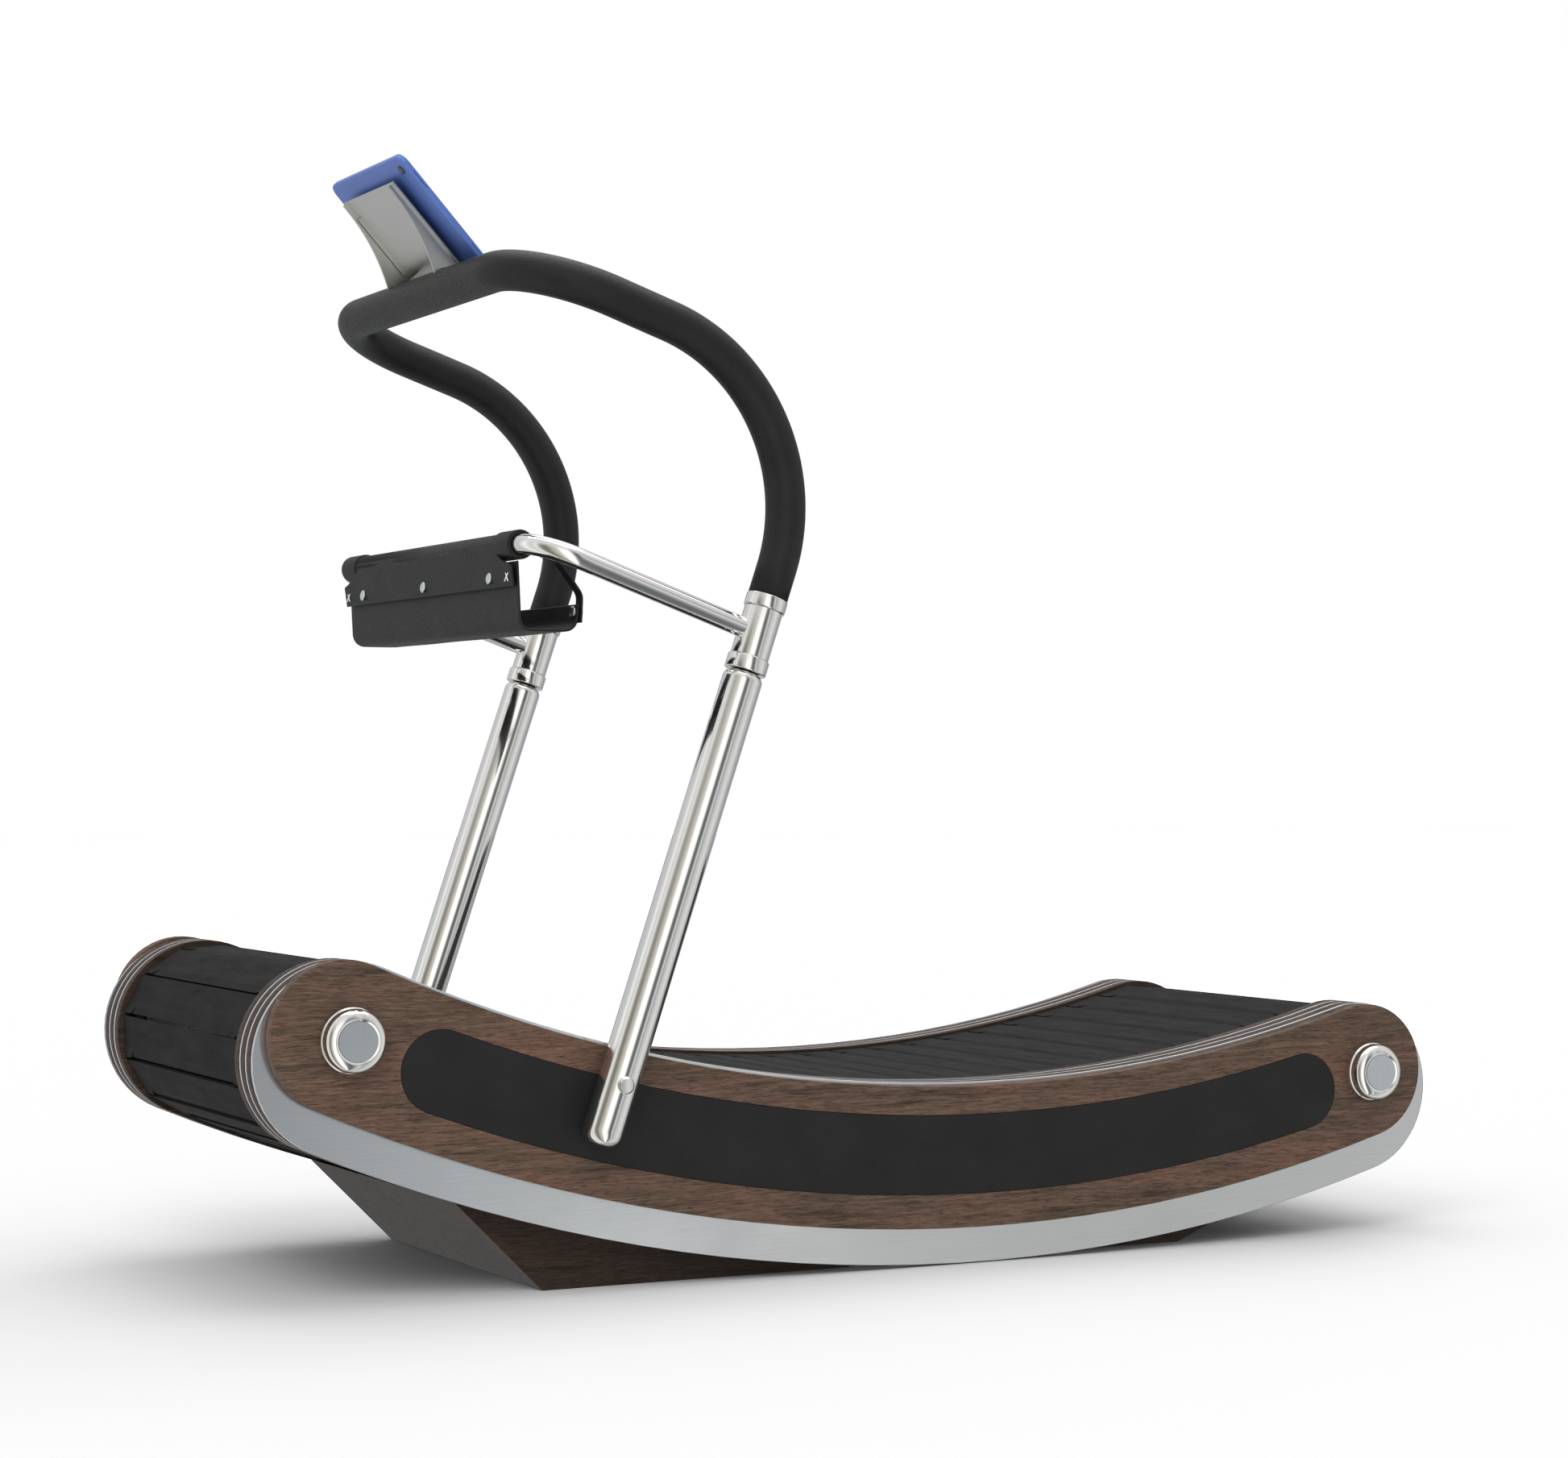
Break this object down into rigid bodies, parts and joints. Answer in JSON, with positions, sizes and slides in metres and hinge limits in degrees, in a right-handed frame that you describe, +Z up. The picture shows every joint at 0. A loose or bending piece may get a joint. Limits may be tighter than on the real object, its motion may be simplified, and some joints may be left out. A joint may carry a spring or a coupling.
{
  "type": "curved manual treadmill",
  "caption": "Curved manual treadmill: slatted belt between laminated walnut side panels, leather-wrapped handle, hanging leather pouch and tablet holder.",
  "frame": {"origin": "on the floor, under the middle of the bounding box", "axes": "+X from the front of the machine to its rear (the runner faces -X), +Y to the runner's right, +Z up"},
  "size_m": [1.8724, 0.8226, 1.5491],
  "materials": {
    "walnut": "oiled walnut veneer, satin",
    "aluminium": "fine brushed, satin",
    "polished_steel": "polished stainless",
    "satin_steel": "brushed stainless",
    "plain_steel": "plain machined",
    "holder_metal": "satin anodised",
    "black_leather": "fine grained black",
    "slat_rubber": "matt black",
    "belt_rubber": "matt black",
    "blue_case": "anodised blue, satin",
    "screen": "black display glass",
    "lens": "gloss"
  },
  "bodies": {
    "root": {"bar_sleeve": "black_leather", "base_bolts": "plain_steel", "cap_discs": "satin_steel", "cross_bar": "polished_steel", "cross_ties": "plain_steel", "front_axle": "plain_steel", "front_base": "walnut", "handle_frame": "plain_steel", "handle_grip": "black_leather", "holder_pads": "belt_rubber", "holder_saddle": "holder_metal", "left_front_cap": "polished_steel", "left_leather_inlay": "black_leather", "left_lower_collar": "polished_steel", "left_metal_sheets": "aluminium", "left_rear_cap": "polished_steel", "left_side_plate": "aluminium", "left_socket": "polished_steel", "left_track_rail": "aluminium", "left_upper_collar": "polished_steel", "left_upright": "polished_steel", "left_walnut_cover": "walnut", "left_wood_layers": "walnut", "pouch": "black_leather", "pouch_rivets": "satin_steel", "pouch_straps": "black_leather", "rear_axle": "plain_steel", "rear_base": "walnut", "right_front_cap": "polished_steel", "right_leather_inlay": "black_leather", "right_lower_collar": "polished_steel", "right_metal_sheets": "aluminium", "right_rear_cap": "polished_steel", "right_side_plate": "aluminium", "right_socket": "polished_steel", "right_track_rail": "aluminium", "right_upper_collar": "polished_steel", "right_upright": "polished_steel", "right_walnut_cover": "walnut", "right_wood_layers": "walnut", "tablet_holder": "holder_metal", "tie_bolts": "plain_steel", "upright_bolts": "polished_steel", "upright_nuts": "plain_steel", "upright_saddles": "plain_steel"},
    "belt_top": {"top_slats": "slat_rubber", "top_belts": "belt_rubber"},
    "front_wheel": {"front_drum": "aluminium", "front_bearings": "plain_steel", "front_slats": "slat_rubber", "front_belts": "belt_rubber"},
    "rear_wheel": {"rear_drum": "aluminium", "rear_bearings": "plain_steel", "rear_slats": "slat_rubber", "rear_belts": "belt_rubber"},
    "belt_return": {"return_slats": "slat_rubber", "return_belts": "belt_rubber"},
    "tablet": {"tablet_case": "blue_case", "tablet_glass": "screen", "camera_lens": "lens"}
  },
  "joints": [
    {"name": "belt_run", "type": "hinge", "parent": "root", "child": "belt_top", "pos_m": [0.14905, 0, 2.563], "axis": [0, 1, 0], "range_deg": [-0.77, 0.77]},
    {"name": "front_drum_spin", "type": "hinge", "parent": "root", "child": "front_wheel", "pos_m": [-0.80824, 0, 0.32624], "axis": [0, 1, 0], "range_deg": [-14.5, 14.5]},
    {"name": "rear_drum_spin", "type": "hinge", "parent": "root", "child": "rear_wheel", "pos_m": [0.80824, 0, 0.221], "axis": [0, 1, 0], "range_deg": [-14.5, 14.5]},
    {"name": "return_run", "type": "hinge", "parent": "root", "child": "belt_return", "pos_m": [0.14905, 0, 2.563], "axis": [0, 1, 0], "range_deg": [-0.7, 0.7]},
    {"name": "tablet_lift", "type": "slide", "parent": "root", "child": "tablet", "axis": [-0.6791, 0, 0.7341], "range_m": [0, 0.1]}
  ],
  "couplings": [
    {"joint": "front_drum_spin", "follows": "belt_run", "ratio": -18.621},
    {"joint": "rear_drum_spin", "follows": "belt_run", "ratio": -18.621},
    {"joint": "return_run", "follows": "belt_run", "ratio": -0.90301}
  ]
}
